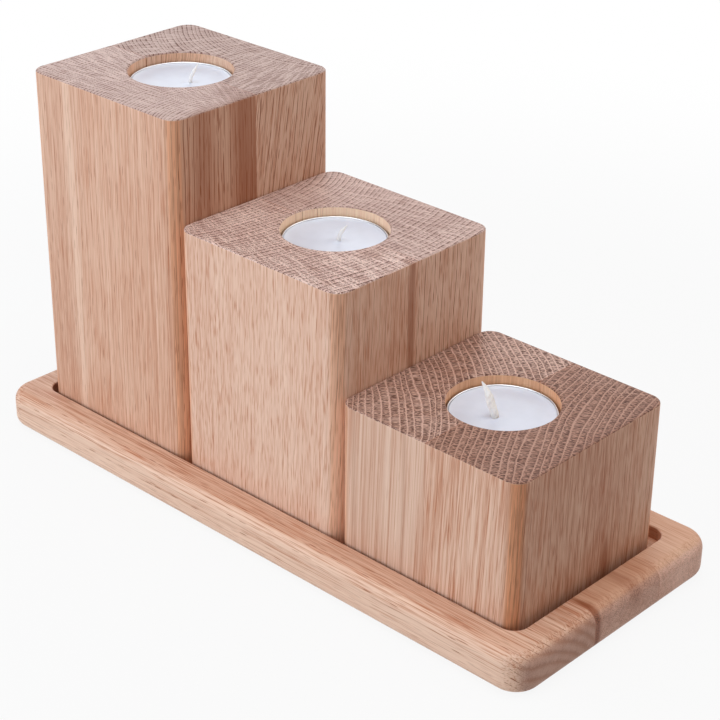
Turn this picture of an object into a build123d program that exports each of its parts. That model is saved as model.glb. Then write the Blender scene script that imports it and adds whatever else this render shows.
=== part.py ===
from build123d import *
import os

# Oak tealight holder: three blocks of stepped height stand loose, side by side, in the routed pocket of a tray.
# Each block carries a tealight in a round recess in its top. Tray and blocks are glued up from oak staves.
# Origin at the centre of the tray's underside, +X from the tall block to the low one, +Y to the back, +Z up.

# Blocks
block_side = 80.0
block_corner_radius = 6.0
block_edge_ease = 0.6
tall_block_height = 140.0
middle_block_height = 100.0
low_block_height = 60.0
block_gap = 0.3

# Tray, with a pocket that takes the row of blocks
tray_thickness = 16.0
tray_rim_width = 12.0
tray_corner_radius = 10.0
tray_top_round = 5.0
tray_bottom_round = 4.5
tray_front_stave_width = 40.0
tray_middle_stave_width = 36.5
pocket_depth = 5.0
pocket_front_clearance = 1.0
pocket_back_clearance = 4.5
pocket_end_clearance = 2.4
pocket_edge_ease = 0.7

# Recess in each block
recess_clearance = 0.7
recess_sink = 3.7
recess_mouth_ease = 0.5

# Tealight cup
cup_height = 16.3
cup_rim_radius = 19.3
cup_taper = 0.7
cup_wall = 0.3
cup_bottom_round = 1.5
cup_curl_radius = 0.45

# Wax puck, wick and the clip that holds the wick upright
wax_freeboard = 1.2
wax_clearance = 0.15
wax_edge_round = 0.8
wick_radius = 1.0
wick_bend_radius = 4.0
wick_clearance = 0.05
clip_disc_radius = 6.0
clip_collar_height = 4.0
clip_sheet = 0.3

# Sizes that follow
pocket_floor = tray_thickness - pocket_depth
pocket_length = 3 * block_side + 2 * block_gap + 2 * pocket_end_clearance
pocket_width = pocket_front_clearance + block_side + pocket_back_clearance
pocket_corner_radius = block_corner_radius
tray_length = pocket_length + 2 * tray_rim_width
tray_width = pocket_width + 2 * tray_rim_width
tray_front_seam = -tray_width / 2 + tray_front_stave_width
tray_back_seam = tray_front_seam + tray_middle_stave_width
row_pitch = block_side + block_gap
row_y = (pocket_front_clearance - pocket_back_clearance) / 2
recess_radius = cup_rim_radius + recess_clearance
recess_depth = cup_height + recess_sink
cup_wall_top = cup_height - cup_curl_radius
cup_top_radius = cup_rim_radius - cup_curl_radius + cup_wall / 2
cup_base_radius = cup_top_radius - cup_taper
wax_top = cup_height - wax_freeboard
wick_hole_radius = wick_radius + wick_clearance
clip_collar_radius = wick_hole_radius + clip_sheet

# Each block's place in the row, its height, and the way its two staves lie: across Y or across X
blocks = {
    "tall_block": (-row_pitch, tall_block_height, {"front": (0, -1, 0), "back": (0, 1, 0)}),
    "middle_block": (0.0, middle_block_height, {"front": (0, -1, 0), "back": (0, 1, 0)}),
    "low_block": (row_pitch, low_block_height, {"left": (-1, 0, 0), "right": (1, 0, 0)}),
}

# Each tealight's block, where its wick stands from the cup's axis, the way the wick leans in degrees from +X,
# and the bends and tip of its free end as (distance along the lean, height above the wax)
tealights = {
    "tall_tealight": ("tall_block", (4.3, 0.3), 88.0, [(0.0, 1.0), (2.2, 7.0)]),
    "middle_tealight": ("middle_block", (1.3, 0.2), 50.0, [(0.0, 1.0), (1.0, 3.6), (3.3, 6.2)]),
    "low_tealight": ("low_block", (0.5, -4.0), 180.0, [(0.0, 0.8), (2.7, 4.9), (4.4, 9.2), (7.3, 11.9)]),
}


def write(builder, label):
    """Labels a finished piece and writes it."""
    builder.part.label = label
    export_step(builder.part, f"parts/{label}.step")


def make_tray_stave(label, front_seam, back_seam):
    """A lengthwise stave of the tray, cut from the whole tray at its glue seams; None is the tray's own edge."""
    with BuildPart() as stave:
        with BuildSketch():
            RectangleRounded(tray_length, tray_width, tray_corner_radius)
        extrude(amount=tray_thickness)
        fillet(stave.faces().sort_by(Axis.Z)[-1].edges(), tray_top_round)
        fillet(stave.faces().sort_by(Axis.Z)[0].edges(), tray_bottom_round)
        with BuildSketch(Plane.XY.offset(pocket_floor)):
            RectangleRounded(pocket_length, pocket_width, pocket_corner_radius)
        extrude(amount=pocket_depth, mode=Mode.SUBTRACT)
        fillet(stave.faces().sort_by(Axis.Z)[-1].inner_wires().edges(), pocket_edge_ease)
        if front_seam is not None:
            split(bisect_by=Plane((0, front_seam, 0), z_dir=(0, 1, 0)), keep=Keep.TOP)
        if back_seam is not None:
            split(bisect_by=Plane((0, back_seam, 0), z_dir=(0, 1, 0)), keep=Keep.BOTTOM)
    write(stave, label)


def make_block_stave(label, centre_x, height, outward):
    """One of a block's two staves: the half of the block that lies on the outward side of its glue seam."""
    block_top = pocket_floor + height
    with BuildPart() as stave:
        with BuildSketch(Plane.XY.offset(pocket_floor)):
            with Locations((centre_x, row_y)):
                RectangleRounded(block_side, block_side, block_corner_radius)
        extrude(amount=height)
        fillet(stave.faces().filter_by(Axis.Z).edges(), block_edge_ease)
        with Locations((centre_x, row_y, block_top)):
            Hole(recess_radius, recess_depth)
        chamfer(stave.faces().sort_by(Axis.Z)[-1].inner_wires().edges(), recess_mouth_ease)
        split(bisect_by=Plane((centre_x, row_y, 0), z_dir=outward), keep=Keep.TOP)
    write(stave, label)


def make_cup(label, centre_x, seat):
    """Drawn metal cup: a flat base, a slightly flaring wall and a curled rim."""
    section = Plane((centre_x, row_y, seat), x_dir=(1, 0, 0), z_dir=(0, -1, 0))
    with BuildPart() as cup:
        with BuildSketch(section):
            with BuildLine():
                outside = FilletPolyline(
                    (0, 0), (cup_base_radius, 0), (cup_top_radius, cup_wall_top), radius=cup_bottom_round
                )
                inside = FilletPolyline(
                    (0, cup_wall),
                    (cup_base_radius - cup_wall, cup_wall),
                    (cup_top_radius - cup_wall, cup_wall_top),
                    radius=cup_bottom_round - cup_wall,
                )
                Line(outside @ 0, inside @ 0)
                Line(outside @ 1, inside @ 1)
            make_face()
            with Locations((cup_top_radius - cup_wall / 2, cup_wall_top)):
                Circle(cup_curl_radius)
        revolve(axis=Axis((centre_x, row_y, seat), (0, 0, 1)))
    write(cup, label)


def make_wax(label, centre_x, seat, wick_place):
    """Wax puck that fills the cup, with a hole for the wick and a hollow underneath for the clip."""
    cup_floor = seat + cup_wall
    section = Plane((centre_x, row_y, seat), x_dir=(1, 0, 0), z_dir=(0, -1, 0))
    flare = cup_taper / cup_wall_top
    base_radius = cup_base_radius - cup_wall - wax_clearance
    with BuildPart() as wax:
        with BuildSketch(section):
            with BuildLine():
                outside = FilletPolyline(
                    (0, cup_wall),
                    (base_radius + flare * cup_wall, cup_wall),
                    (base_radius + flare * wax_top, wax_top),
                    (0, wax_top),
                    radius=[cup_bottom_round, wax_edge_round],
                )
                Line(outside @ 1, outside @ 0)
            make_face()
        revolve(axis=Axis((centre_x, row_y, seat), (0, 0, 1)))
        with Locations((*wick_place, seat + wax_top)):
            Hole(wick_hole_radius)
        with BuildSketch(Plane.XY.offset(cup_floor)):
            with Locations(wick_place):
                Circle(clip_disc_radius + wax_clearance)
        extrude(amount=clip_sheet + wick_clearance, mode=Mode.SUBTRACT)
        with BuildSketch(Plane.XY.offset(cup_floor)):
            with Locations(wick_place):
                Circle(clip_collar_radius + wick_clearance)
        extrude(amount=clip_collar_height + wick_clearance, mode=Mode.SUBTRACT)
    write(wax, label)


def make_clip(label, seat, wick_place):
    """Wick clip: a tin disc with a collar round the foot of the wick."""
    with BuildPart() as clip:
        with BuildSketch(Plane.XY.offset(seat + cup_wall)):
            with Locations(wick_place):
                Circle(clip_disc_radius)
        extrude(amount=clip_sheet)
        with BuildSketch(Plane.XY.offset(seat + cup_wall)):
            with Locations(wick_place):
                Circle(clip_collar_radius)
        extrude(amount=clip_collar_height)
        with Locations((*wick_place, seat + cup_wall + clip_collar_height)):
            Hole(wick_hole_radius)
    write(clip, label)


def make_wick(label, seat, wick_place, lean, free_end):
    """Waxed wick: straight up from the cup's floor through clip and wax, then leaning over."""
    turned = Plane.XY.rotated((0, 0, lean))
    upright = Plane((*wick_place, seat), x_dir=turned.x_dir, z_dir=-turned.y_dir)
    with BuildPart() as wick:
        with BuildLine(upright):
            path = FilletPolyline(
                (0, cup_wall), *((run, wax_top + rise) for run, rise in free_end), radius=wick_bend_radius
            )
        with BuildSketch(Plane((*wick_place, seat + cup_wall))):
            Circle(wick_radius)
        sweep(path=path.wire())
    write(wick, label)


os.makedirs("parts", exist_ok=True)

make_tray_stave("tray_front_stave", None, tray_front_seam)
make_tray_stave("tray_middle_stave", tray_front_seam, tray_back_seam)
make_tray_stave("tray_back_stave", tray_back_seam, None)

for block, (centre_x, height, staves) in blocks.items():
    for side, outward in staves.items():
        make_block_stave(f"{block}_{side}_stave", centre_x, height, outward)

for tealight, (block, wick_offset, lean, free_end) in tealights.items():
    centre_x, height, staves = blocks[block]
    seat = pocket_floor + height - recess_depth
    wick_place = (centre_x + wick_offset[0], row_y + wick_offset[1])
    make_cup(f"{tealight}_cup", centre_x, seat)
    make_wax(f"{tealight}_wax", centre_x, seat, wick_place)
    make_clip(f"{tealight}_wick_clip", seat, wick_place)
    make_wick(f"{tealight}_wick", seat, wick_place, lean, free_end)
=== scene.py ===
"""Dresses the oak tealight holder: sawn oak on tray and blocks, foil cups, wax, wicks and a studio."""

import math
from typing import NamedTuple

import bmesh
import bpy
from bpy.props import FloatProperty, FloatVectorProperty, IntProperty, PointerProperty
from mathutils import Matrix, Vector, noise


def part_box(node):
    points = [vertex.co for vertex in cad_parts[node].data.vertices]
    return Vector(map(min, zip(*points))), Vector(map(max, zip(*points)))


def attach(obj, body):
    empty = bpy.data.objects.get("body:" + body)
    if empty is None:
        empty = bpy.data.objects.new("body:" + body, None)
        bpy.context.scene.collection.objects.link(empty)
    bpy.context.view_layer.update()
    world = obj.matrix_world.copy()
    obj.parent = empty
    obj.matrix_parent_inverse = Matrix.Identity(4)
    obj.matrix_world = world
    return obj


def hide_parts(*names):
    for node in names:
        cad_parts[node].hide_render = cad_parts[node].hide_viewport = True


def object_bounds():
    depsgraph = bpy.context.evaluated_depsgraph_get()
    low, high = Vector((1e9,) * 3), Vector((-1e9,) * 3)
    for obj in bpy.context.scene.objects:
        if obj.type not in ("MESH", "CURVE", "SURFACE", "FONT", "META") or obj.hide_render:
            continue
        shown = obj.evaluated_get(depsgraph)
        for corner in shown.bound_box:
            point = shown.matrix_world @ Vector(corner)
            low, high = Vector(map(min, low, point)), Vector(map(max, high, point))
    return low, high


bl_info = {
    "name": "Oak tealight holder",
    "version": (1, 0, 0),
    "blender": (4, 5, 0),
    "location": "View3D > Sidebar > Holder",
    "description": "Oak grain, tealights and a studio for a stepped tealight holder",
    "category": "Object",
}

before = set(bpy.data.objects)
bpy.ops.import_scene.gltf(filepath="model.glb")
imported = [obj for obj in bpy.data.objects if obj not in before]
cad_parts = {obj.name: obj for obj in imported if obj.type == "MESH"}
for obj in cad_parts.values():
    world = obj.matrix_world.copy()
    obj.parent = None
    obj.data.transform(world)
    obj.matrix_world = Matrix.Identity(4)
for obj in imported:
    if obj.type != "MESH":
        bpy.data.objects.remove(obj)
cad_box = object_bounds()

MM = 0.001
MERGE = 0.002 * MM  # points nearer than this are one

# Places on the oak that the solids give
RECESS_RADIUS = 20 * MM
RECESS_EASE = 0.5 * MM  # the eased mouth of a recess
POCKET_INSET = 11 * MM  # from the tray's edge to the eased edge of its pocket
POCKET_FADE = 1 * MM  # how far past that edge the painted shade on the pocket's walls fades out
GLUE_LINE = (0.05 * MM, 0.22 * MM)  # half the width of a glue line, where it is full and where it ends

# Patterns of the oak, each with its width across the grain and its length along it
STRAY = (34 * MM, 320 * MM)  # the grain's wander
CLOUD = (21 * MM, 95 * MM)  # broad clouds of tone
BAND = (3.4 * MM, 170 * MM)  # bands of tone
FIBRE = (0.8 * MM, 110 * MM)  # long fine lines
FLECK_WIDTH = 0.34 * MM  # short fine dashes, whose length each stave gives
RAY = (0.5 * MM, 9 * MM)  # rays, which run out from the tree's middle
STROKE = (0.35 * MM, 12 * MM)  # dark strokes between rays
VESSEL_PITCH = 2.6 * MM  # from one long vessel to the next
VESSEL_SWAY = (9 * MM, 45 * MM)  # the wander of the vessels
VESSEL_DASH = (0.9 * MM, 11 * MM)  # the dashes that they are broken into
UNEVEN_RINGS = 4  # how many years a spell of wide or narrow rings lasts
UNEVEN_ARC = 60 * MM  # how far round the tree it reaches

# Foil cups
CUP_TAPER = 0.7 * MM  # how far the wall leans in from rim to foot
CUP_HEEL = 1.5 * MM  # the bend between wall and bottom
PANEL_INSET = 5 * MM  # from the foot to the panel pressed up in the bottom
PANEL_RISE = 0.4 * MM
PANEL_SLOPE = (0.8 * MM, 0.6 * MM)  # the width of that panel's edge, outside and inside
CUP_DENT = 0.16 * MM  # how far handling pressed the rim out of round
DENTS_ROUND = 3  # how closely dents follow each other round a cup
DENTS_APART = 20  # how quickly their pattern changes from cup to cup
HEEL_STEPS = 6
WALL_STEPS = 8
CURL_STEPS = 12

# Wax
WAX_OVERLAP = 0.1 * MM  # how far the wax reaches into the foil
WAX_HEEL = 1.6 * MM
WAX_RINGS = 34
MENISCUS_REACH = 1.1 * MM
DIP_REACH = 7 * MM
MOUND_HEIGHT = 0.8 * MM  # the mound where wax clings to the wick
MOUND_REACH = 3 * MM
SWELL_HEIGHT = 0.1 * MM  # how uneven the wax set
SWELL_REACH = 9 * MM

# Wicks
STRANDS = 3
STRAND_DEPTH = 0.05  # how deep the grooves between strands are, as a share of the wick's radius
WICK_SIDES = 24
TIP_LENGTH = 4  # the length over which a wick tapers, in radii
TIP_SIZE = 0.16  # what is left of its radius at the tip
WICK_UNEVEN = 0.05  # how much its radius varies along it

# Stage
FLOOR_RADIUS = 6.0
FLOOR_FADE = (0.22, 0.55)  # where the floor starts to fade to white, and where it ends
FLOOR_WHITE = 0.9  # how white the floor is under the holder
LAMP_SIZE = 0.8
LAMP_AIM = Vector((0, 0, 0.06))
SENSOR_WIDTH = 36.0  # in millimetres, as the lens is
WHITE = (1, 1, 1, 1)


class Streak(NamedTuple):
    """A streak along the grain: darker heartwood, paler sapwood, and in one place painted shade."""

    place: tuple  # its middle in the plane across the grain
    reach: tuple  # half its width each way
    shade: float  # below 0 darker, above 0 paler
    run: tuple = ()  # where along the grain it tapers in, from nothing to full


class Stave(NamedTuple):
    """How one stave was sawn: where the middle of its tree lay across it, and how its wood looks."""

    seed: float  # shifts every pattern, so that no two staves are alike
    pith: tuple  # the tree's middle in the plane across the grain
    ring: float  # width of a growth ring
    lean: tuple = (0.01, 0.02)  # how far the grain shifts across for each metre along
    side_tone: float = 1.0  # brightness of the long grain
    end_tone: float = 1.0  # brightness of the end grain
    warm: float = 0.0  # how far the long grain leans to amber
    mottle: float = 1.0  # strength of the broad clouds and bands of tone
    fibres: float = 1.0  # strength of the long fine lines on the long grain
    flecks: float = 1.0  # strength of the short fine dashes on the long grain
    dash: float = 11 * MM  # length of those dashes
    pores: float = 1.0  # strength of the open pores on the long grain
    edge: float = 0.5  # how strongly painted shade darkens and warms the rounded upright corners
    rays: float = 1.2  # strength of the rays on the end grain
    bands: float = 0.0  # strength of broad soft rings on the end grain
    line: float = 0.12  # strength of the pale late-wood lines on the end grain
    row: float = 0.6  # strength of the dark pore rows on the end grain
    stroke: float = 0.25  # strength of the dark strokes between rays on the end grain
    dots: float = 0.0  # strength of scattered open pores on the end grain
    dust_and_sheen: float = 0.0  # how far fine sanding dust and a painted whitish sheen pale the end grain
    oil: float = 0.0  # how far oil warms the end grain
    bore: float = 0.3  # how pale the freshly drilled wall of the recess is
    char: float = 0.0  # how far the drill browned that wall
    streaks: tuple = ()  # its darker and paler streaks


BLOCK_STAVES = {
    "tall_block_front_stave": Stave(
        1.3, (-16 * MM, -27 * MM), 1.6 * MM, (0.01, 0.007), side_tone=1.02, end_tone=1.07, warm=0.28,
        flecks=0.75, dash=18 * MM, pores=1.5, edge=0.72, rays=1.7, row=1.3, dust_and_sheen=0.44,
        streaks=(
            Streak((-99 * MM, -42 * MM), (2.6 * MM, 9 * MM), 0.46),
            Streak((-40 * MM, -5 * MM), (22 * MM, 11 * MM), -0.5),
            Streak((-40 * MM, -28 * MM), (4 * MM, 6 * MM), -0.25),
            Streak((-40 * MM, -17 * MM), (4 * MM, 4 * MM), 0.2),
            Streak((-38 * MM, -20 * MM), (9 * MM, 30 * MM), -0.44),
            Streak((-110 * MM, -44 * MM), (24 * MM, 10 * MM), -0.15),
            Streak((-109 * MM, -34 * MM), (2.6 * MM, 1.7 * MM), -0.4),
        ),
    ),
    "tall_block_back_stave": Stave(
        2.9, (-75 * MM, 62 * MM), 1.7 * MM, (0.02, 0.15), side_tone=0.98, end_tone=0.86, warm=0.1,
        flecks=0.9, pores=2.0, rays=2.1, row=1.35, dust_and_sheen=0.30,
        streaks=(
            Streak((-113.5 * MM, 1.5 * MM), (3 * MM, 2 * MM), -0.45),
            Streak((-77 * MM, 32 * MM), (6 * MM, 2 * MM), -0.3),
        ),
    ),
    "middle_block_front_stave": Stave(
        4.1, (-112 * MM, -10 * MM), 1.9 * MM, (0.02, 0.03), side_tone=1.065, end_tone=1.68, mottle=0.6,
        fibres=0.7, flecks=0.85, pores=0.55, edge=0.52, rays=2.1, row=1.3, stroke=0.56, dust_and_sheen=0.46,
        bore=1.0,
        streaks=(
            Streak((0, -44 * MM), (60 * MM, 8 * MM), 0.10),
            Streak((39 * MM, -41 * MM), (7 * MM, 7 * MM), 0.18),
            Streak((-31 * MM, -18 * MM), (11 * MM, 15 * MM), 0.38),
            Streak((40 * MM, -4.6 * MM), (7 * MM, 2.4 * MM), -0.7),
            Streak((0, -26 * MM), (2.2 * MM, 2.6 * MM), -0.55),
            Streak((-30 * MM, -5.5 * MM), (7 * MM, 3 * MM), -0.2),
            Streak((19 * MM, -32 * MM), (5 * MM, 2.4 * MM), -0.4),
            Streak((30 * MM, -37 * MM), (4 * MM, 2.2 * MM), -0.45),
            Streak((24 * MM, -9 * MM), (7 * MM, 7 * MM), -0.4),
        ),
    ),
    "middle_block_back_stave": Stave(
        5.7, (-90 * MM, 6 * MM), 2.0 * MM, (0.03, -0.02), side_tone=1.04, end_tone=1.22,
        flecks=0.8, pores=1.1, rays=2.0, row=0.95, stroke=0.42, dust_and_sheen=0.38, bore=1.0,
        streaks=(
            Streak((-31 * MM, 20 * MM), (11 * MM, 18 * MM), 0.32),
            Streak((1 * MM, 33 * MM), (2.6 * MM, 1.6 * MM), -0.5),
            Streak((19 * MM, 37 * MM), (6 * MM, 1.6 * MM), -0.3),
        ),
    ),
    "low_block_left_stave": Stave(
        7.2, (-81 * MM, -157 * MM), 2.45 * MM, (0.03, 0.004), side_tone=0.965, end_tone=1.08, warm=0.08,
        mottle=1.6, fibres=1.9, flecks=0.6, dash=55 * MM, pores=0.45, line=0.6, row=0.25, stroke=0.95,
        oil=0.15, bore=0.5, char=1.0,
        streaks=(
            Streak((56 * MM, -43 * MM), (13 * MM, 8 * MM), -0.06),
            Streak((71 * MM, -43 * MM), (1.6 * MM, 4 * MM), -0.25),
            Streak((48 * MM, -43 * MM), (1.4 * MM, 4 * MM), -0.22),
            Streak((70 * MM, 32 * MM), (40 * MM, 14 * MM), 0.6),
        ),
    ),
    "low_block_right_stave": Stave(
        8.8, (280 * MM, 75 * MM), 2.6 * MM, (0.04, -0.008), side_tone=1.01, end_tone=0.82, warm=0.12,
        mottle=1.3, fibres=1.7, flecks=0.95, dash=24 * MM, pores=0.9, edge=0.95, line=0.95, row=0.55,
        stroke=1.0, oil=0.55, bore=0.5, char=1.0,
        streaks=(
            Streak((121 * MM, 8 * MM), (7 * MM, 3.2 * MM), -0.5, (38 * MM, 20 * MM)),
            # Painted shade: this broad dark streak covers the block's whole right face, its shaded side,
            # darkening and warming it.
            Streak((123 * MM, -2 * MM), (9 * MM, 60 * MM), -0.44),
            Streak((121 * MM, -42 * MM), (7 * MM, 7 * MM), -0.25),
            Streak((100 * MM, 36 * MM), (20 * MM, 10 * MM), 0.52),
        ),
    ),
}
TRAY_STAVES = {
    "tray_front_stave": Stave(
        10.4, (-57 * MM, -30 * MM), 3.8 * MM, (0.01, 0.0), end_tone=1.11, warm=0.22,
        fibres=1.7, flecks=0.9, dash=20 * MM, pores=1.8, edge=0.05, rays=0.3, bands=0.75, line=0.0,
        row=0.08, stroke=0.08, dots=0.18, oil=0.5,
        # This pale streak lies over the tray's whole front face and pales it.
        streaks=(Streak((-56 * MM, 4 * MM), (9 * MM, 16 * MM), 0.42),),
    ),
    "tray_middle_stave": Stave(
        12.1, (-70 * MM, 60 * MM), 3.0 * MM, (0.02, 0.0), side_tone=0.97, end_tone=1.38, warm=0.65,
        fibres=0.8, flecks=0.6, dash=16 * MM, pores=0.5, edge=0.05, rays=0.3, bands=0.08, line=0.0,
        row=0.10, stroke=0.10, dots=0.3, oil=0.3,
        streaks=(
            Streak((-13.2 * MM, 8 * MM), (2.4 * MM, 26 * MM), -0.75, (112 * MM, 132 * MM)),
            Streak((-13.6 * MM, 10 * MM), (1.5 * MM, 20 * MM), -0.6, (100 * MM, 128 * MM)),
            Streak((8 * MM, 14 * MM), (4.5 * MM, 9 * MM), -0.4, (96 * MM, 132 * MM)),
            Streak((0, 14 * MM), (40 * MM, 10 * MM), -0.15),
        ),
    ),
    "tray_back_stave": Stave(
        13.6, (120 * MM, 40 * MM), 2.6 * MM, (-0.01, 0.0), end_tone=1.49, warm=0.5,
        fibres=0.8, flecks=0.6, dash=16 * MM, pores=0.5, edge=0.05, rays=0.3, bands=0.08, line=0.0,
        row=0.08, stroke=0.08, dots=0.26, oil=0.2,
    ),
}


class Wick(NamedTuple):
    """A wick and the way its free end goes."""

    radius: float
    lean: float  # the way it leans, in degrees from +X
    bends: tuple  # its bends and its tip: how far along that way, and how high above the wax


WICKS = {
    "tall": Wick(0.7 * MM, 75.0, ((0, 1.0 * MM), (1.4 * MM, 4.1 * MM), (3.6 * MM, 7.2 * MM))),
    "middle": Wick(0.75 * MM, 50.0, ((0, 1.0 * MM), (1.0 * MM, 3.6 * MM), (3.3 * MM, 6.2 * MM))),
    "low": Wick(
        1.55 * MM, 180.0,
        ((0, 0.8 * MM), (2.7 * MM, 4.9 * MM), (4.4 * MM, 9.2 * MM), (7.0 * MM, 11.7 * MM)),
    ),
}
TEALIGHTS = ("tall", "middle", "low")


class Lamp(NamedTuple):
    """A soft box: where it stands, its power in watts and its tint."""

    place: tuple
    power: float
    tint: tuple


LAMPS = {
    "front_lamp": Lamp((0.0, -0.95, 0.35), 4.3, (0.91, 1.0, 1.08)),
    "left_lamp": Lamp((-0.72, -0.66, 0.20), 4.9, (0.91, 1.0, 1.08)),
    "over_lamp": Lamp((0.05, -0.10, 1.10), 7.2, (0.98, 1.0, 1.02)),
    "back_left_lamp": Lamp((-0.72, 0.62, 0.52), 2.2, (0.96, 1.0, 1.06)),
    "back_right_lamp": Lamp((0.60, 0.60, 0.50), 2.8, (1.11, 0.99, 0.88)),
}


def colour_property(name, description, default):
    """A colour that a user can change."""
    return FloatVectorProperty(
        name=name, description=description, subtype="COLOR", min=0, max=1, default=default,
    )


class OakSettings(bpy.types.PropertyGroup):
    """Colours and scale of the oak."""

    pale: colour_property("Pale grain", "Long grain where it is palest", (0.815, 0.575, 0.445))
    deep: colour_property("Deep grain", "Long grain where it is deepest", (0.46, 0.17, 0.08))
    end_pale: colour_property("Pale end grain", "Late wood and rays on sawn ends", (0.62, 0.42, 0.345))
    end_deep: colour_property("Deep end grain", "Early wood on sawn ends", (0.36, 0.185, 0.13))
    end_pore: colour_property(
        "End pore", "Pore rows and gaps between rays on sawn ends", (0.11, 0.046, 0.032),
    )
    # Partly real sanding dust, partly painted sheen: a whitish reflection of the bright surroundings,
    # painted on the end grain.
    dust_and_sheen: colour_property("Dust", "Fine sanding dust held by end grain", (0.57, 0.45, 0.43))
    oil: colour_property("Oil", "End grain that oil has soaked", (0.42, 0.195, 0.12))
    pore: colour_property("Pore", "Inside of the open pores", (0.29, 0.092, 0.04))
    amber: colour_property(
        "Amber", "What the warmest staves and browned walls are multiplied by", (1.0, 0.86, 0.72),
    )
    # Real heartwood for most dark streaks; painted shade for the pocket's upright walls and for the
    # broad streak on the low block's right face.
    heartwood_and_painted_shade: colour_property(
        "Heart", "What the darkest streaks and the pocket's walls are multiplied by", (0.50, 0.31, 0.22),
    )
    # Painted shade: a darker, warmer colour for the rounded upright corners, where less light falls and
    # no sheen shows.
    edge: colour_property("Edge", "Rounded edges, where the sander ran warm", (0.68, 0.31, 0.16))
    fresh: colour_property("Fresh", "Drilled walls, where the wood is freshly cut", (1.0, 0.665, 0.47))
    pore_pitch: FloatProperty(
        name="Pore pitch", description="Distance from pore to pore across the grain",
        unit="LENGTH", min=0.0002, default=0.8 * MM,
    )
    pore_length: FloatProperty(
        name="Pore length", description="Length of grain that a pore takes up",
        unit="LENGTH", min=0.001, default=11.0 * MM,
    )
    wander: FloatProperty(
        name="Wander", description="How far the grain strays from straight",
        unit="LENGTH", min=0, default=3.2 * MM,
    )
    roughness: FloatProperty(
        name="Roughness", description="Of the sanded and oiled surface",
        subtype="FACTOR", min=0, max=1, default=0.48,
    )


class TealightSettings(bpy.types.PropertyGroup):
    """Sizes and colours of the tealights."""

    foil: FloatProperty(
        name="Foil", description="Thickness of the cup's foil",
        unit="LENGTH", min=0.0001, default=0.3 * MM,
    )
    curl: FloatProperty(
        name="Curl", description="Radius of the cup's curled rim",
        unit="LENGTH", min=0.0001, default=0.28 * MM,
    )
    meniscus: FloatProperty(
        name="Meniscus", description="How far the wax climbs the foil",
        unit="LENGTH", min=0, default=0.85 * MM,
    )
    dip: FloatProperty(
        name="Dip", description="Depth of the shrinkage dip round the wick",
        unit="LENGTH", min=0, default=0.35 * MM,
    )
    lay: FloatProperty(
        name="Lay", description="Length of one turn of the wick's strands",
        unit="LENGTH", min=0.001, default=6 * MM,
    )
    sides: IntProperty(
        name="Sides", description="Segments round a cup and its wax", min=24, max=256, default=128,
    )
    wax: colour_property("Wax", "Colour of the wax", (0.70, 0.725, 0.815))
    cotton: colour_property("Cotton", "Colour of the wick", (0.95, 0.89, 0.85))


class StageSettings(bpy.types.PropertyGroup):
    """Camera, lamps and floor."""

    azimuth: FloatProperty(
        name="Azimuth", description="Camera's turn about the holder; 0 looks along +Y",
        subtype="ANGLE", default=math.radians(43.108),
    )
    elevation: FloatProperty(
        name="Elevation", description="Camera's angle above the floor",
        subtype="ANGLE", default=math.radians(27.575),
    )
    roll: FloatProperty(
        name="Roll", description="Camera's turn about its own axis",
        subtype="ANGLE", default=math.radians(0.601),
    )
    camera_place: FloatVectorProperty(
        name="Camera place", description="Where the camera stands", subtype="XYZ", unit="LENGTH",
        default=(0.44005, -0.45810, 0.38877),
    )
    lens: FloatProperty(
        name="Lens", description="Focal length, in millimetres",
        min=10, default=96.4,
    )
    light: FloatProperty(
        name="Light", description="Brightness of all lamps together",
        min=0, default=1.0,
    )
    sky: FloatProperty(
        name="Sky", description="Strength of the even light all round",
        subtype="FACTOR", min=0, max=1, default=0.05,
    )
    floor: colour_property("Floor", "Colour of the floor", (0.58, 0.58, 0.58))


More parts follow.
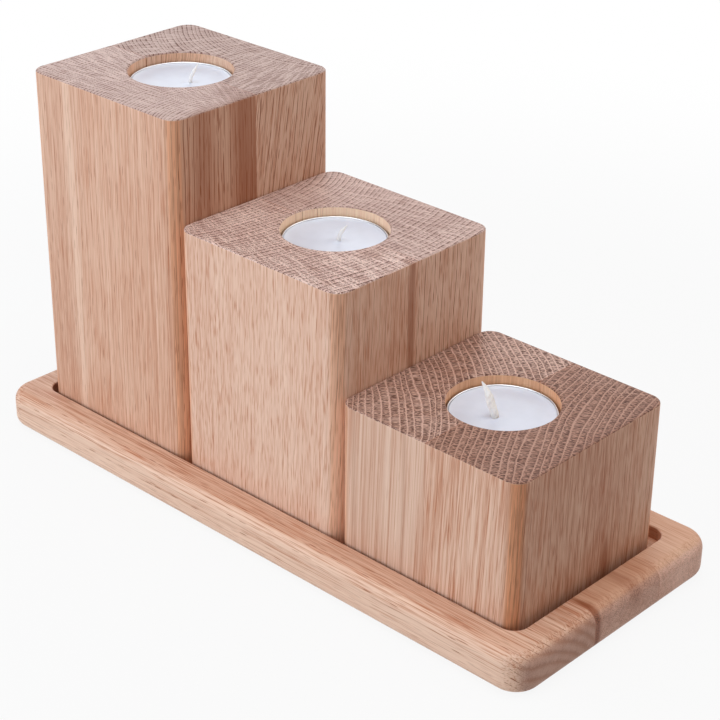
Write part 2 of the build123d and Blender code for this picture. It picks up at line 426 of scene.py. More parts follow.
class Wire:
    """An output socket of a node tree. Arithmetic on wires adds Math nodes, and add() any other node."""

    def __init__(self, tree, socket=None):
        self.tree = tree
        self.socket = socket

    def add(self, kind, settings=None, sockets=None, output=0):
        """Adds a node, sets its settings and then its sockets, and returns one of its outputs."""
        node = self.tree.nodes.new(kind)
        for name, value in (settings or {}).items():
            setattr(node, name, value)
        for key, value in (sockets or {}).items():
            if isinstance(value, Wire):
                self.tree.links.new(value.socket, node.inputs[key])
            else:
                node.inputs[key].default_value = value
        return Wire(self.tree, node.outputs[output]) if node.outputs else None

    def other(self, output):
        """Another output of the same node."""
        return Wire(self.tree, self.socket.node.outputs[output])

    def math(self, operation, *values):
        """A Math node that starts from this wire."""
        sockets = {0: self, **dict(enumerate(values, 1))}
        return self.add("ShaderNodeMath", {"operation": operation}, sockets)

    def __add__(self, value):
        return self.math("ADD", value)

    def __sub__(self, value):
        return self.math("SUBTRACT", value)

    def __mul__(self, value):
        return self.math("MULTIPLY", value)

    def __truediv__(self, value):
        return self.math("DIVIDE", value)

    def __rsub__(self, value):
        return self.add("ShaderNodeMath", {"operation": "SUBTRACT"}, {0: value, 1: self})

    __radd__ = __add__
    __rmul__ = __mul__

    def __abs__(self):
        return self.math("ABSOLUTE")

    def hypot(self, other):
        """How far it is to a place this far along one axis and the other far along the next."""
        return (self * self + other * other).math("SQRT")

    def parts(self):
        """The three parts of a vector or colour."""
        first = self.add("ShaderNodeSeparateXYZ", None, {0: self})
        return first, first.other(1), first.other(2)

    def vector(self, *parts):
        """A vector made of up to three parts."""
        return self.add("ShaderNodeCombineXYZ", None, dict(enumerate(parts)))

    def ramp(self, low, high):
        """A smooth step: 0 at low, 1 at high."""
        return self.add(
            "ShaderNodeMapRange", {"interpolation_type": "SMOOTHSTEP"},
            {"Value": self, "From Min": low, "From Max": high},
        )

    def between(self, low, high):
        """The colour that lies this far from one colour to another."""
        return self.add("ShaderNodeMix", {"data_type": "RGBA"}, {0: self, 6: low, 7: high}, 2)

    def mix(self, factor, colour):
        """This colour, and the other one where factor is 1."""
        return self.add("ShaderNodeMix", {"data_type": "RGBA"}, {0: factor, 6: self, 7: colour}, 2)

    def stain(self, factor, colour):
        """This colour, multiplied by the other one where factor is 1."""
        settings = {"data_type": "RGBA", "blend_type": "MULTIPLY"}
        return self.add("ShaderNodeMix", settings, {0: factor, 6: self, 7: colour}, 2)

    def noise(self, place, detail=2.0, roughness=0.5, output=0):
        """Smooth noise, one unit of place to a swell."""
        sockets = {"Vector": place, "Scale": 1.0, "Detail": detail, "Roughness": roughness}
        return self.add("ShaderNodeTexNoise", None, sockets, output)


def seen_rays(start):
    """1 for rays that show a surface itself or its reflection, and 0 for rays that gather light."""
    camera = start.add("ShaderNodeLightPath", output="Is Camera Ray")
    glossy = camera.other("Is Glossy Ray")
    return camera.math("MAXIMUM", glossy).math("MAXIMUM", camera.other("Is Transmission Ray"))


def new_material(name):
    """An empty node material, its first wire, and its Principled shader's node."""
    material = bpy.data.materials.new(name)
    material.use_nodes = True
    tree = material.node_tree
    tree.nodes.clear()
    start = Wire(tree)
    surface = start.add("ShaderNodeBsdfPrincipled")
    start.add("ShaderNodeOutputMaterial", None, {"Surface": surface})
    return material, start, surface.socket.node


def feed(start, shader, **sockets):
    """Sets or links a shader's sockets, with _ for a space in their names."""
    for name, value in sockets.items():
        socket = shader.inputs[name.replace("_", " ")]
        if isinstance(value, Wire):
            start.tree.links.new(value.socket, socket)
        else:
            socket.default_value = value


def swells(start, width, height, detail):
    """Noise all over an object, in swells of one width and height."""
    x, y, z = start.add("ShaderNodeTexCoord", output="Object").parts()
    return start.noise(start.vector(x / width, y / width, z / height), detail)


def rgba(colour, scale=1.0):
    """A colour with an alpha of 1, made brighter or darker."""
    return (*(min(1.0, part * scale) for part in colour), 1.0)


class Timber:
    """One stave's oak. Rings, rays and pores run through it, so every face shows its own cut of them."""

    def __init__(self, node, stave, grain, settings):
        self.material, self.start, self.shader = new_material(node + "_oak")
        self.stave = stave
        self.settings = settings
        self.place = self.start.add("ShaderNodeTexCoord", output="Object").parts()
        facing = self.start.add("ShaderNodeTexCoord", output="Normal").parts()
        self.normal = [abs(part) for part in facing]
        x, y, z = self.place
        low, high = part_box(node)
        middle = (low + high) / 2
        if grain == "Z":
            self.across, self.through, self.along = x, y, z
            self.middle = middle.xy
            self.ends = self.normal[2].ramp(0.25, 0.6)
            self.skew = facing[0] * facing[1]
        else:
            self.across, self.through, self.along = y, z, x
            self.middle = middle.yz
            self.ends = self.normal[0].ramp(0.55, 0.9)
            self.skew = facing[1] * facing[2]
        self.bend_grain()
        self.grow_rings()
        self.draw_lines()
        self.open_pores()
        self.lay_tones()

    def bend_grain(self):
        """Places across and through the tree, whose lean and wander every pattern follows."""
        width, length = STRAY
        lean, wander = self.stave.lean, self.settings.wander
        place = self.start.vector(
            self.across / width + self.stave.seed, self.through / width, self.along / length,
        )
        stray = self.start.noise(place, 2.0, output="Color").parts()
        self.tree_across = self.across - self.along * lean[0] + (stray[0] - 0.5) * wander
        self.tree_through = self.through - self.along * lean[1] + (stray[1] - 0.5) * wander

    def cells(self, width, length, shift):
        """The place in units of a pattern's own size, shifted so that no pattern follows another."""
        seed = self.stave.seed
        return self.start.vector(
            self.tree_across / width + seed, self.tree_through / width + shift,
            self.along / length + 3 * seed,
        )

    def grow_rings(self):
        """Growth rings, with rays that run out from the tree's middle and nudge them."""
        start, stave = self.start, self.stave
        side, depth = self.tree_across - stave.pith[0], self.tree_through - stave.pith[1]
        radius = side.hypot(depth)
        around = depth.math("ARCTAN2", side) * (self.middle - Vector(stave.pith)).length
        width, length = RAY
        self.ray = start.noise(
            start.vector(around / width + stave.seed, radius / length, self.along / length), 1.0,
        )
        years = radius / (UNEVEN_RINGS * stave.ring)
        uneven = start.noise(start.vector(years + stave.seed, around / UNEVEN_ARC, 0.0), 1.0)
        phase = radius / stave.ring + uneven * 2.2 + (self.ray - 0.5) * 0.4
        turn = phase.math("FRACT")
        year = phase.math("FLOOR")
        self.late = turn.ramp(0.86, 0.91) * (1 - turn.ramp(0.95, 0.99))
        self.early = (1 - turn.ramp(0.14, 0.36)) * turn.ramp(0.0, 0.04)
        self.soft_ring = turn * (1 - turn) * 4 - 0.66
        width, length = STROKE
        place = start.vector(around / width, year * 3.3 + turn * 1.5, self.along / length)
        within_year = turn.ramp(0.0, 0.08) * (1 - turn.ramp(0.78, 0.88))
        self.stroke = start.noise(place, 1.0).ramp(0.45, 0.55) * within_year

    def draw_lines(self):
        """Lines along the grain, from the finest flecks to the broadest clouds."""
        noise_of = self.start.noise
        self.fibre = noise_of(self.cells(*FIBRE, 1.1), 1.0, 0.6)
        self.fleck = noise_of(self.cells(FLECK_WIDTH, self.stave.dash, 6.3), 1.0, 0.6)
        self.nick = 1 - self.fleck.ramp(0.30, 0.52)
        self.band = noise_of(self.cells(*BAND, 2.3), 2.0, 0.55)
        self.cloud = noise_of(self.cells(*CLOUD, 4.7), 2.0)

    def open_pores(self):
        """Open pores: short ones all over, and vessels that run on and on, broken into dashes."""
        start, settings, seed = self.start, self.settings, self.stave.seed
        flat = self.tree_across + self.tree_through
        place = start.vector(flat / settings.pore_pitch + seed, self.along / settings.pore_length)
        kind = {"voronoi_dimensions": "2D"}
        cell = start.add("ShaderNodeTexVoronoi", kind, {"Vector": place, "Scale": 1.0})
        short = (1 - cell.ramp(0.11, 0.24)) * cell.other("Color").parts()[0].ramp(0.3, 0.9)

        width, length = VESSEL_SWAY
        sway = start.noise(start.vector(flat / width + seed, self.along / length, 0.0), 1.0)
        kind = {"voronoi_dimensions": "1D", "feature": "DISTANCE_TO_EDGE"}
        place = flat / VESSEL_PITCH + sway * 1.6
        gap = start.add("ShaderNodeTexVoronoi", kind, {"W": place, "Scale": 1.0})
        dash = start.noise(self.cells(*VESSEL_DASH, 8.2), 1.0).ramp(0.38, 0.54)
        vessel = (1 - gap.ramp(0.02, 0.08)) * dash

        side = self.normal[0]
        pore = short * (0.18 + side * 0.16 + self.early * 0.34) + vessel * (0.22 + side * 0.7)
        self.pore = pore * (1 - self.skew.ramp(0.08, 0.3)) * self.stave.pores

    def lay_tones(self):
        """Broad tones, pale streaks and the stain of dark ones, and the open marks on the end grain."""
        stave = self.stave
        self.tone = ((self.band - 0.5) * 0.55 + (self.cloud - 0.5) * 0.75) * stave.mottle
        self.stain = None
        for streak in stave.streaks:
            near = self.near(streak)
            if streak.shade > 0:
                self.tone = self.tone + near * streak.shade
            elif self.stain is None:
                self.stain = near * -streak.shade
            else:
                self.stain = self.stain + near * -streak.shade
        speck = stave.dots if self.stain is None else self.stain * 0.6 + stave.dots
        row = self.early * (1 - self.ray.ramp(0.44, 0.58)) * stave.row
        self.end_gap = row + self.stroke * stave.stroke + self.nick * speck

    def near(self, streak):
        """1 inside a streak and 0 outside it, with a frayed edge."""
        side = (self.across - streak.place[0]) / streak.reach[0]
        depth = (self.through - streak.place[1]) / streak.reach[1]
        near = 1 - side.hypot(depth) + (self.band - 0.5) * 0.6 + (self.fleck - 0.5) * 0.7
        if streak.run:
            near = near + self.along.ramp(*streak.run) - 1
        return near.ramp(0.0, 0.7)

    def darken(self, colour, share=1.0):
        """A colour with the stave's dark streaks laid over it, painted shade among them on the low
        block's right face.
        """
        if self.stain is None:
            return colour
        return colour.stain(self.stain * share, rgba(self.settings.heartwood_and_painted_shade))

    def long_grain(self):
        """The colour of the faces that run along the grain."""
        stave, settings = self.stave, self.settings
        tone = self.tone + (self.fibre - 0.5) * 0.8 * stave.fibres - self.nick * 0.66 * stave.flecks
        tone = tone - self.early * 0.14 + self.late * 0.10 + 0.70
        deep, pale = rgba(settings.deep, stave.side_tone), rgba(settings.pale, stave.side_tone)
        colour = tone.ramp(-0.35, 1.35).between(deep, pale)
        if stave.warm:
            colour = colour.stain(stave.warm, rgba(settings.amber))
        return self.darken(colour)

    def shaded_corners(self):
        """The painted shade of the rounded upright corners, a darker and warmer colour, and where that
        colour shows.
        """
        colour, tone = self.settings.edge, self.stave.side_tone
        deep, pale = rgba(colour, 0.65 * tone), rgba(colour, 1.22 * tone)
        corner_colour = (self.fibre - self.nick * 0.3).ramp(0.1, 0.7).between(deep, pale)
        x, y, z = self.normal
        flattest = x.math("MAXIMUM", y).math("MAXIMUM", z)
        where = (1 - flattest).ramp(0.0, 0.11) * (1 - z.ramp(0.05, 0.3))
        return where * self.stave.edge, self.darken(corner_colour)

    def end_grain(self):
        """The colour of the sawn ends."""
        stave, settings = self.stave, self.settings
        tone = self.tone * 0.9 + (self.fleck - 0.5) * 0.8 + (self.ray - 0.5) * stave.rays
        tone = tone + self.late * stave.line + self.soft_ring * stave.bands + 0.5
        deep, pale = rgba(settings.end_deep, stave.end_tone), rgba(settings.end_pale, stave.end_tone)
        colour = tone.ramp(0.0, 1.0).between(deep, pale)
        # Painted sheen as well as dust: the end grain and its pores are paled towards a whitish colour,
        # as the tops look where they reflect the bright surroundings.
        colour = colour.mix(stave.dust_and_sheen, rgba(settings.dust_and_sheen)).mix(stave.oil, rgba(settings.oil))
        return self.darken(colour, 0.8).mix(self.end_gap, rgba(settings.end_pore, 1 + 0.6 * stave.dust_and_sheen))

    def drill(self, colour, axis):
        """A colour with the fresh wall of a recess about an upright axis, where pores show less."""
        fresh = self.settings.fresh
        out = (self.place[0] - axis[0]).hypot(self.place[1] - axis[1])
        drilled = 1 - out.ramp(RECESS_RADIUS + 0.1 * MM, RECESS_RADIUS + RECESS_EASE)
        cut = self.fibre.ramp(0.25, 0.75).between(rgba(fresh, 0.93), rgba(fresh, 1.12))
        self.pore = self.pore * (1 - drilled * 0.45)
        colour = colour.mix(drilled * self.stave.bore, cut)
        return colour.stain(drilled * self.stave.char, rgba(self.settings.amber))

    def paint_pocket_shade(self, colour, half_length, half_width):
        """A colour with painted shade darkening the upright walls of the pocket."""
        x, y, _ = self.place
        inside = 1 - abs(x).ramp(half_length, half_length + POCKET_FADE)
        inside = inside * (1 - abs(y).ramp(half_width, half_width + POCKET_FADE))
        upright = 1 - self.normal[2].ramp(0.3, 0.7)
        return colour.stain(inside * upright * 0.6, rgba(self.settings.heartwood_and_painted_shade))

    def glue(self, colour, axis, place):
        """A colour with a thin glue line across one axis."""
        line = 1 - abs(self.place[axis] - place).ramp(*GLUE_LINE)
        return colour.mix(line * 0.5, rgba(self.settings.pore, 1.3))

    def finish(self, colour):
        """Feeds the shader, with the open pores sunk and less glossy."""
        open_grain = self.pore * (1 - self.ends) + self.end_gap * self.ends * 0.6
        height = self.nick * -0.12 - open_grain * 0.9
        relief = {"Strength": 0.15, "Distance": 0.12 * MM, "Height": height}
        bump = self.start.add("ShaderNodeBump", None, relief)
        roughness = self.settings.roughness + (self.fleck - 0.5) * 0.16 + open_grain * 0.25
        feed(self.start, self.shader, Base_Color=colour, Roughness=roughness, Normal=bump)
        feed(self.start, self.shader, Specular_IOR_Level=0.25)
        return self.material


def oak(node, stave, grain, seams, settings, recess=None, pocket=None):
    """The oak of one stave, with its recess or pocket, painted shade on the pocket's walls, and its glue
    lines.
    """
    timber = Timber(node, stave, grain, settings)
    # Painted shade on the rounded upright corners.
    wood = timber.long_grain().mix(*timber.shaded_corners())
    if recess:
        wood = timber.drill(wood, recess)
    wood = wood.mix(timber.pore, rgba(settings.pore)).mix(timber.ends, timber.end_grain())
    # Painted shade on the pocket's upright walls.
    if pocket:
        wood = timber.paint_pocket_shade(wood, *pocket)
    for seam in seams:
        wood = timber.glue(wood, *seam)
    return timber.finish(wood)


def aluminium():
    """Bright drawn foil with faint upright draw lines and a little waviness."""
    material, start, shader = new_material("drawn_foil")
    draw = swells(start, 0.5 * MM, 14 * MM, 2.0)
    dent = swells(start, 7 * MM, 9 * MM, 2.0)
    colour = draw.between((0.66, 0.67, 0.70, 1), (0.77, 0.78, 0.80, 1))
    height = draw * 0.25 + dent
    bump = start.add("ShaderNodeBump", None, {"Strength": 0.25, "Distance": 0.2 * MM, "Height": height})
    feed(start, shader, Base_Color=colour, Metallic=1.0, Roughness=0.30 + draw * 0.16, Normal=bump)
    return material


def wax(settings):
    """White paraffin: a little light goes in, with a faint crystalline mottle."""
    material, start, shader = new_material("paraffin_wax")
    mottle = swells(start, 5 * MM, 5 * MM, 3.0)
    grain = swells(start, 0.8 * MM, 0.8 * MM, 2.0)
    colour = mottle.ramp(0.3, 0.7).between(rgba(settings.wax, 0.98), rgba(settings.wax, 1.02))
    height = mottle + grain * 0.2
    bump = start.add("ShaderNodeBump", None, {"Strength": 0.1, "Distance": 0.1 * MM, "Height": height})
    feed(start, shader, Base_Color=colour, Roughness=0.30 + mottle * 0.12, Normal=bump)
    feed(start, shader, Subsurface_Weight=0.35, Subsurface_Scale=2.0 * MM)
    feed(start, shader, Subsurface_Radius=(1.0, 0.9, 0.8))
    return material


def cotton(settings):
    """Waxed cotton, paler and darker by the thread, which lets some light through."""
    material, start, shader = new_material("waxed_cotton")
    thread = swells(start, 0.22 * MM, 0.7 * MM, 3.0)
    colour = thread.ramp(0.3, 0.7).between(rgba(settings.cotton, 0.93), rgba(settings.cotton, 1.08))
    bump = start.add("ShaderNodeBump", None, {"Strength": 0.3, "Distance": 0.1 * MM, "Height": thread})
    feed(start, shader, Base_Color=colour, Roughness=0.5 + thread * 0.2, Normal=bump)
    feed(start, shader, Subsurface_Weight=0.8, Subsurface_Scale=4.0 * MM)
    feed(start, shader, Subsurface_Radius=(1.0, 0.9, 0.8))
    return material


def tin():
    """Tinned sheet of the wick clips."""
    material, start, shader = new_material("tinned_sheet")
    spangle = swells(start, 1.5 * MM, 1.5 * MM, 2.0)
    colour = spangle.between((0.55, 0.55, 0.56, 1), (0.70, 0.70, 0.71, 1))
    feed(start, shader, Base_Color=colour, Metallic=1.0, Roughness=0.3 + spangle * 0.2)
    return material


def dress(node, material):
    """Gives a CAD node its finished material."""
    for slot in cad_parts[node].material_slots:
        slot.material = material


def new_piece(name, mesh, material, body, node):
    """A finished piece that stands for a CAD node and rides on its body."""
    bmesh.ops.remove_doubles(mesh, verts=mesh.verts, dist=MERGE)
    bmesh.ops.recalc_face_normals(mesh, faces=mesh.faces)
    data = bpy.data.meshes.new(name)
    mesh.to_mesh(data)
    mesh.free()
    data.shade_smooth()
    data.materials.append(material)
    piece = bpy.data.objects.new(name, data)
    bpy.context.scene.collection.objects.link(piece)
    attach(piece, body)
    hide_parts(node)


def spin(profile, centre, sides):
    """Turns a profile of (radius, height) points about an upright axis."""
    mesh = bmesh.new()
    points = [mesh.verts.new((centre[0] + radius, centre[1], height)) for radius, height in profile]
    edges = [mesh.edges.new(pair) for pair in zip(points, points[1:])]
    bmesh.ops.spin(
        mesh, geom=points + edges, cent=(*centre, 0), axis=(0, 0, 1),
        angle=2 * math.pi, steps=sides, use_merge=True,
    )
    return mesh


def arc(centre, radius, first, last, steps):
    """Points of (radius, height) round a bend, from one angle to another in degrees."""
    turns = [math.radians(first + (last - first) * step / steps) for step in range(steps + 1)]
    return [(centre[0] + radius * math.cos(turn), centre[1] + radius * math.sin(turn)) for turn in turns]


def node_axis(node):
    """The upright middle line of a round node."""
    low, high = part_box(node)
    return ((low.x + high.x) / 2, (low.y + high.y) / 2)


class HOLDER_OT_dress_tray(bpy.types.Operator):
    """Lay the grain of the tray's three staves lengthwise"""

    bl_idname = "holder.dress_tray"
    bl_label = "Dress tray"

    def execute(self, context):
        names = list(TRAY_STAVES)
        joints = [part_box(name)[1].y for name in names[:-1]]
        pocket = [half - POCKET_INSET for half in cad_box[1][:2]]
        for place, name in enumerate(names):
            seams = [(1, y) for y in joints[max(0, place - 1):place + 1]]
            material = oak(name, TRAY_STAVES[name], "X", seams, context.scene.holder_oak, pocket=pocket)
            dress(name, material)
        return {"FINISHED"}


class HOLDER_OT_dress_blocks(bpy.types.Operator):
    """Stand the grain of the blocks' staves upright, so that their tops are end grain"""

    bl_idname = "holder.dress_blocks"
    bl_label = "Dress blocks"

    def execute(self, context):
        for name, stave in BLOCK_STAVES.items():
            low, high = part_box(name)
            seam = {"front": (1, high.y), "back": (1, low.y), "left": (0, high.x), "right": (0, low.x)}
            block, _, side, _ = name.split("_")
            recess = node_axis(f"{block}_tealight_cup")
            material = oak(name, stave, "Z", [seam[side]], context.scene.holder_oak, recess=recess)
            dress(name, material)
        return {"FINISHED"}


class HOLDER_OT_make_cups(bpy.types.Operator):
    """Draw the three foil cups with their curled rims"""

    bl_idname = "holder.make_cups"
    bl_label = "Make cups"

    def execute(self, context):
        settings = context.scene.holder_tealight
        foil, curl = settings.foil, settings.curl
        material = aluminium()
        for name in TEALIGHTS:
            node = f"{name}_tealight_cup"
            low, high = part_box(node)
            rim = (high.x - low.x) / 2
            side = rim - curl + foil / 2
            foot = side - CUP_TAPER
            panel, raised = foot - PANEL_INSET, low.z + PANEL_RISE
            heel = (foot - CUP_HEEL, low.z + CUP_HEEL)
            bead = (side - foil / 2, high.z - curl)
            rise = bead[1] - curl - heel[1]
            shares = [step / WALL_STEPS for step in range(1, WALL_STEPS)]
            wall = [(foot + CUP_TAPER * share, heel[1] + rise * share) for share in shares]
            profile = [
                (0, raised), (panel, raised), (panel + PANEL_SLOPE[0], low.z),
                *arc(heel, CUP_HEEL, -90, 0, HEEL_STEPS),
                *wall,
                *arc(bead, curl, -60, 240, CURL_STEPS),
                *((radius - foil, height) for radius, height in reversed(wall)),
                *arc(heel, CUP_HEEL - foil, 0, -90, HEEL_STEPS),
                (panel + PANEL_SLOPE[1], low.z + foil), (panel, raised + foil), (0, raised + foil),
            ]
            centre = node_axis(node)
            mesh = spin(profile, centre, settings.sides)
            self.press(mesh, centre, low.z, high.z)
            new_piece(f"{name}_cup", mesh, material, f"{name}_tealight", node)
        return {"FINISHED"}

    @staticmethod
    def press(mesh, centre, foot, rim):
        """Presses the soft foil slightly out of round, most at the rim, and differently for each cup."""
        for vert in mesh.verts:
            out = Vector((vert.co.x - centre[0], vert.co.y - centre[1], 0))
            if out.length < MERGE:
                continue
            turn = math.atan2(out.y, out.x)
            way = Vector((math.cos(turn), math.sin(turn), 0)) * DENTS_ROUND
            way.z = DENTS_APART * centre[0]
            lift = (vert.co.z - foot) / (rim - foot)
            vert.co += out.normalized() * noise.noise(way) * CUP_DENT * lift


class HOLDER_OT_make_wax(bpy.types.Operator):
    """Pour the three pucks of wax"""

    bl_idname = "holder.make_wax"
    bl_label = "Make wax"

    def execute(self, context):
        settings = context.scene.holder_tealight
        material = wax(settings)
        for name in TEALIGHTS:
            node = f"{name}_tealight_wax"
            low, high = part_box(node)
            radius = (high.x - low.x) / 2 + WAX_OVERLAP
            foot = radius - CUP_TAPER
            bevel = 0.3 * WAX_HEEL
            profile = [(0, low.z), (foot - WAX_HEEL, low.z), (foot - bevel, low.z + bevel)]
            profile += [(foot, low.z + WAX_HEEL), (radius, high.z + settings.meniscus)]
            for step in range(WAX_RINGS + 1):
                inside = radius * (step / WAX_RINGS) ** 1.5
                climb = settings.meniscus * math.exp(-inside / MENISCUS_REACH)
                profile.append((radius - inside, high.z + climb))
            mesh = spin(profile, node_axis(node), settings.sides)
            wick = Vector(node_axis(f"{name}_tealight_wick_clip"))
            for vert in mesh.verts:
                if vert.co.z < (low.z + high.z) / 2:
                    continue
                away = (vert.co.xy - wick).length
                hollow = settings.dip * math.exp(-(away / DIP_REACH) ** 2)
                mound = MOUND_HEIGHT * math.exp(-(away / MOUND_REACH) ** 2)
                swell = SWELL_HEIGHT * noise.noise(Vector((*vert.co.xy, high.z)) / SWELL_REACH)
                vert.co.z += mound - hollow + swell
            new_piece(f"{name}_wax", mesh, material, f"{name}_tealight", node)
        return {"FINISHED"}


class HOLDER_OT_make_wicks(bpy.types.Operator):
    """Twist the three wicks and lean their free ends over"""

    bl_idname = "holder.make_wicks"
    bl_label = "Make wicks"

    def execute(self, context):
        settings = context.scene.holder_tealight
        material = cotton(settings)
        for name in TEALIGHTS:
            node = f"{name}_tealight_wick"
            wick = WICKS[name]
            foot = node_axis(f"{name}_tealight_wick_clip")
            wax_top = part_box(f"{name}_tealight_wax")[1].z
            lean = math.radians(wick.lean)
            way = Vector((math.cos(lean), math.sin(lean), 0))
            root = Vector((*foot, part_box(node)[0].z))
            knots = [root, *(Vector((*foot, wax_top + rise)) + way * run for run, rise in wick.bends)]
            mesh = self.twist(self.smooth(knots), wick.radius, settings.lay)
            new_piece(f"{name}_wick", mesh, material, f"{name}_tealight", node)
        return {"FINISHED"}

    @staticmethod
    def smooth(knots):
        """The points of a smooth line past the knots."""
        data = bpy.data.curves.new("wick_line", "CURVE")
        data.dimensions = "3D"
        spline = data.splines.new("NURBS")
        spline.points.add(len(knots) - 1)
        for point, knot in zip(spline.points, knots):
            point.co = (*knot, 1)
        spline.order_u = 3
        spline.use_endpoint_u = True
        spline.resolution_u = 10
        curve = bpy.data.objects.new("wick_line", data)
        line = bpy.data.meshes.new_from_object(curve)
        points = [vert.co.copy() for vert in line.vertices]
        bpy.data.objects.remove(curve)
        bpy.data.curves.remove(data)
        bpy.data.meshes.remove(line)
        return points

    @staticmethod
    def twist(line, radius, lay):
        """Draws twisted strands along a line, down to a blunt point at its end."""
        mesh = bmesh.new()
        ring = bmesh.ops.create_circle(mesh, segments=WICK_SIDES, radius=radius)["verts"]
        for vert in ring:
            turn = math.atan2(vert.co.y, vert.co.x)
            vert.co *= 1 - STRAND_DEPTH + STRAND_DEPTH * math.cos(STRANDS * turn)
        bmesh.ops.translate(mesh, verts=ring, vec=line[0])
        bmesh.ops.contextual_create(mesh, geom=ring)
        edges = list(mesh.edges)
        heading = Vector((0, 0, 1))
        length = sum((b - a).length for a, b in zip(line, line[1:]))
        gone = 0.0
        size = 1.0
        for here, there in zip(line, line[1:]):
            step = there - here
            gone += step.length
            made = bmesh.ops.extrude_edge_only(mesh, edges=edges)["geom"]
            verts = [item for item in made if isinstance(item, bmesh.types.BMVert)]
            edges = [item for item in made if isinstance(item, bmesh.types.BMEdge)]
            bend = heading.rotation_difference(step).to_matrix()
            heading = step.normalized()
            roll = Matrix.Rotation(2 * math.pi * step.length / lay, 3, heading)
            bmesh.ops.rotate(mesh, verts=verts, cent=here, matrix=roll @ bend)
            left = (length - gone) / (TIP_LENGTH * radius)
            taper = min(1.0, TIP_SIZE + (1 - TIP_SIZE) * left ** 0.8)
            wanted = taper * (1 + WICK_UNEVEN * math.sin(gone / radius))
            bmesh.ops.scale(mesh, verts=verts, vec=(wanted / size,) * 3, space=Matrix.Translation(-here))
            size = wanted
            bmesh.ops.translate(mesh, verts=verts, vec=step)
        bmesh.ops.contextual_create(mesh, geom=verts)
        return mesh


class HOLDER_OT_dress_clips(bpy.types.Operator):
    """Tin the clips under the wax"""

    bl_idname = "holder.dress_clips"
    bl_label = "Dress wick clips"

    def execute(self, context):
        material = tin()
        for name in TEALIGHTS:
            dress(f"{name}_tealight_wick_clip", material)
        return {"FINISHED"}


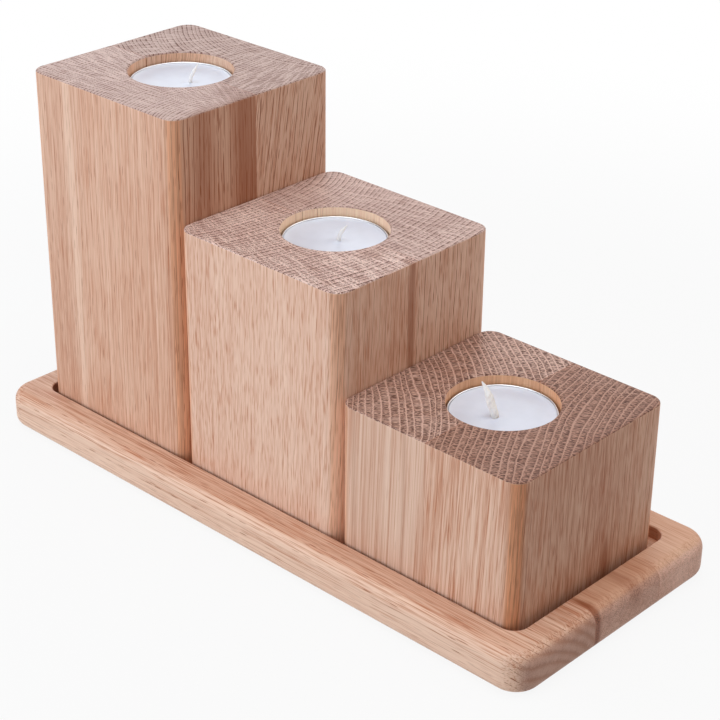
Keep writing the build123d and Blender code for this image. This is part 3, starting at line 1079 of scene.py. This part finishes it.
class HOLDER_OT_set_stage(bpy.types.Operator):
    """Set up the floor, the lamps and the camera"""

    bl_idname = "holder.set_stage"
    bl_label = "Set stage"

    def execute(self, context):
        settings = context.scene.holder_stage
        context.scene.view_settings.view_transform = "Standard"
        self.floor(settings)
        self.sky(context.scene, settings)
        for name, lamp in LAMPS.items():
            self.lamp(name, lamp, settings.light)
        self.camera(context.scene, settings)
        return {"FINISHED"}

    @staticmethod
    def floor(settings):
        """A pale floor that fades to white away from the holder."""
        mesh = bmesh.new()
        bmesh.ops.create_circle(mesh, cap_ends=True, segments=96, radius=FLOOR_RADIUS)
        data = bpy.data.meshes.new("floor")
        mesh.to_mesh(data)
        mesh.free()
        floor = bpy.data.objects.new("floor", data)
        bpy.context.scene.collection.objects.link(floor)
        material, start, shader = new_material("pale_floor")
        feed(start, shader, Base_Color=rgba(settings.floor), Roughness=0.7)
        x, y, _ = start.add("ShaderNodeTexCoord", output="Object").parts()
        far = x.hypot(y).ramp(*FLOOR_FADE)
        share = seen_rays(start) * (FLOOR_WHITE + far * (1 - FLOOR_WHITE))
        white = start.add("ShaderNodeEmission", None, {"Color": WHITE, "Strength": 1.0})
        lit = Wire(start.tree, shader.outputs[0])
        both = start.add("ShaderNodeMixShader", None, {0: share, 1: lit, 2: white})
        output = next(node for node in start.tree.nodes if node.type == "OUTPUT_MATERIAL")
        start.tree.links.new(both.socket, output.inputs["Surface"])
        data.materials.append(material)

    @staticmethod
    def sky(scene, settings):
        """Even light all round, white where it is seen."""
        scene.world = bpy.data.worlds.new("studio")
        scene.world.use_nodes = True
        tree = scene.world.node_tree
        tree.nodes.clear()
        start = Wire(tree)
        colour = seen_rays(start).between(rgba((settings.sky,) * 3), WHITE)
        back = start.add("ShaderNodeBackground", None, {"Color": colour, "Strength": 1.0})
        start.add("ShaderNodeOutputWorld", None, {"Surface": back})

    @staticmethod
    def lamp(name, lamp, light):
        """A square soft box that faces the holder."""
        data = bpy.data.lights.new(name, "AREA")
        data.energy = lamp.power * light
        data.color = lamp.tint
        data.size = LAMP_SIZE
        box = bpy.data.objects.new(name, data)
        box.location = lamp.place
        aim = LAMP_AIM - Vector(lamp.place)
        box.rotation_euler = aim.to_track_quat("-Z", "Y").to_euler()
        bpy.context.scene.collection.objects.link(box)

    @staticmethod
    def camera(scene, settings):
        """The camera, turned about the upright axis, tilted down and rolled."""
        data = bpy.data.cameras.new("camera")
        data.sensor_fit = "HORIZONTAL"
        data.sensor_width = SENSOR_WIDTH
        data.lens = settings.lens
        data.clip_start = 0.01
        camera = bpy.data.objects.new("camera", data)
        turn = Matrix.Rotation(settings.azimuth, 4, "Z")
        tilt = Matrix.Rotation(math.pi / 2 - settings.elevation, 4, "X")
        roll = Matrix.Rotation(settings.roll, 4, "Z")
        camera.matrix_world = Matrix.Translation(settings.camera_place) @ turn @ tilt @ roll
        scene.collection.objects.link(camera)
        scene.camera = camera


class HOLDER_PT_sidebar(bpy.types.Panel):
    """Sizes, colours and steps of the holder"""

    bl_label = "Oak tealight holder"
    bl_space_type = "VIEW_3D"
    bl_region_type = "UI"
    bl_category = "Holder"

    def draw(self, context):
        for group in SETTINGS:
            box = self.layout.box()
            settings = getattr(context.scene, group)
            for name in settings.bl_rna.properties.keys():
                if name not in ("rna_type", "name"):
                    box.prop(settings, name)
        for step in STEPS:
            self.layout.operator(step.bl_idname)


SETTINGS = {
    "holder_oak": OakSettings,
    "holder_tealight": TealightSettings,
    "holder_stage": StageSettings,
}
STEPS = (
    HOLDER_OT_dress_tray, HOLDER_OT_dress_blocks, HOLDER_OT_make_cups, HOLDER_OT_make_wax,
    HOLDER_OT_make_wicks, HOLDER_OT_dress_clips, HOLDER_OT_set_stage,
)


def register():
    for kind in (*SETTINGS.values(), *STEPS, HOLDER_PT_sidebar):
        bpy.utils.register_class(kind)
    for name, kind in SETTINGS.items():
        setattr(bpy.types.Scene, name, PointerProperty(type=kind))


def unregister():
    for name in SETTINGS:
        delattr(bpy.types.Scene, name)
    for kind in (HOLDER_PT_sidebar, *reversed(STEPS), *reversed(SETTINGS.values())):
        bpy.utils.unregister_class(kind)


def main():
    """Registers the add-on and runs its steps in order."""
    register()
    for step in STEPS:
        group, name = step.bl_idname.split(".")
        getattr(getattr(bpy.ops, group), name)()


if __name__ == "__main__":
    main()
